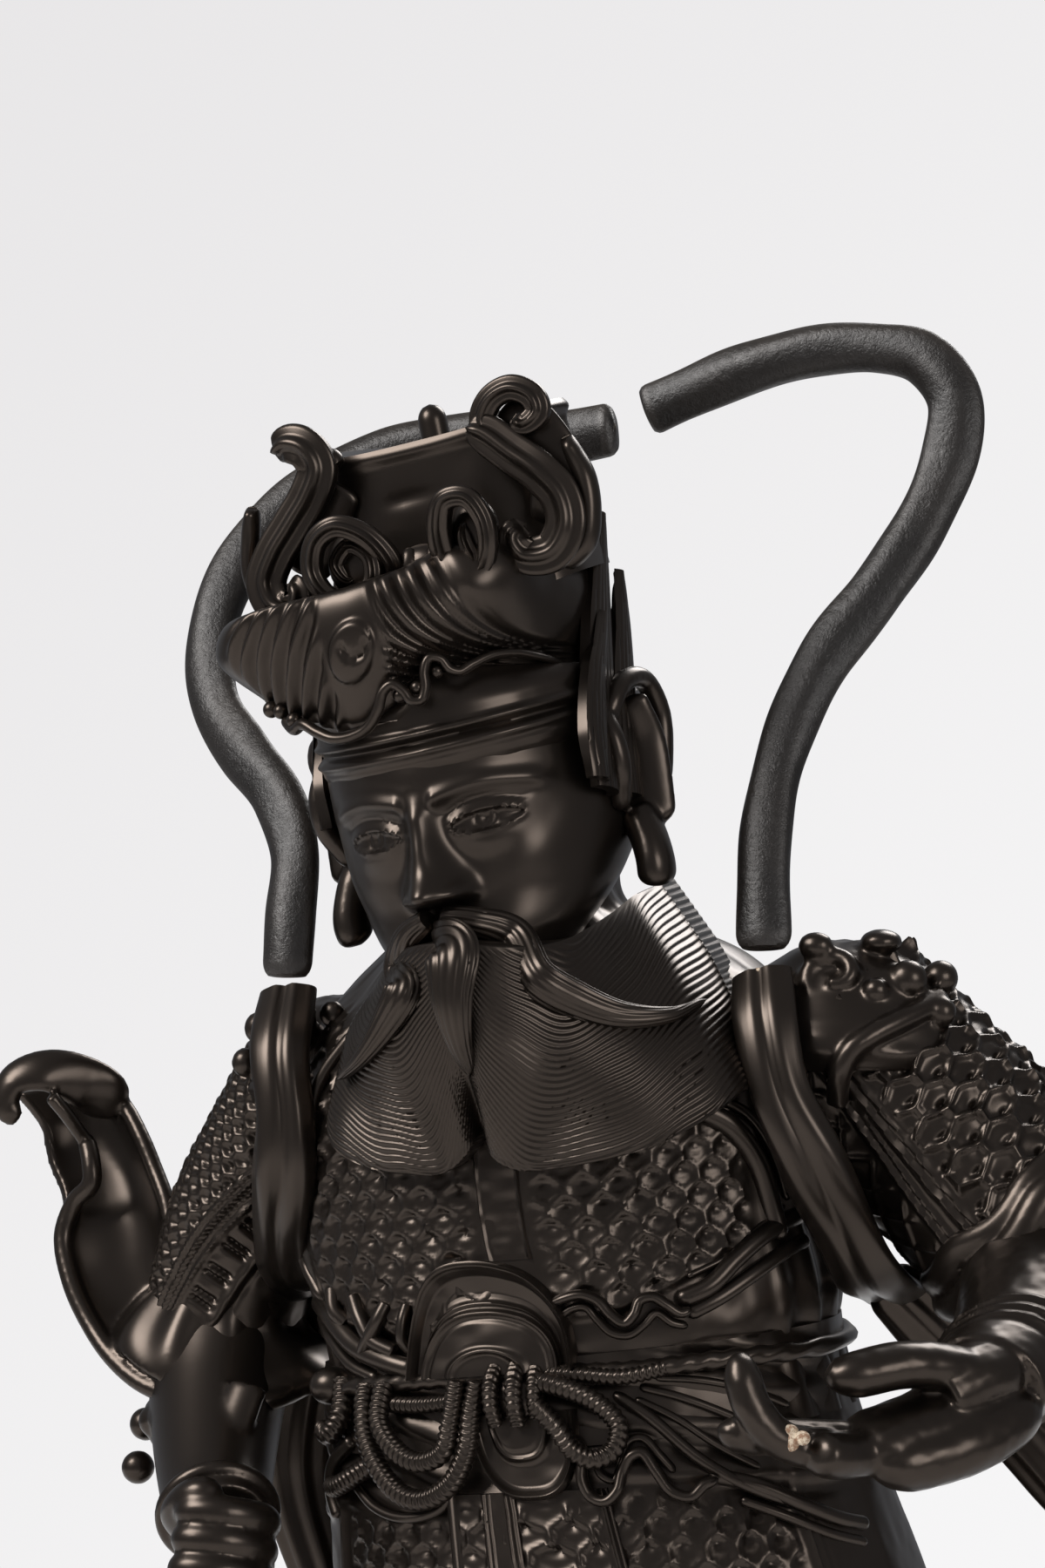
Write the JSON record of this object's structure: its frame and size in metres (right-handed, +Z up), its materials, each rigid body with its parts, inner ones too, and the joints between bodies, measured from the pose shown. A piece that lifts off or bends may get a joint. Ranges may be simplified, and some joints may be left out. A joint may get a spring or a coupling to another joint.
{
  "type": "bronze warrior figure on a low plinth",
  "caption": "Standing bearded warrior cast in bronze, in scale armour and a soft cap, with a scarf looped behind the head, on a low waisted plinth.",
  "frame": {"origin": "middle of the plinth's underside, where the part stands", "axes": "+Z up; the figure looks along -Y and its own left side is +X"},
  "size_m": [0.3692, 0.2206, 0.6241],
  "materials": {
    "bronze": "dark brown patinated bronze, satin, with brown dust in the hollows",
    "scarf_bronze": "dark brown patinated bronze, satin, rubbed smooth",
    "plinth_bronze": "dark brown patinated bronze, satin",
    "repair_filler": "old pale filler and glue at the breaks, matt"
  },
  "bodies": {
    "root": {"figure": "bronze", "scarf_left": "scarf_bronze", "scarf_right": "scarf_bronze", "plinth": "plinth_bronze"}
  },
  "joints": []
}
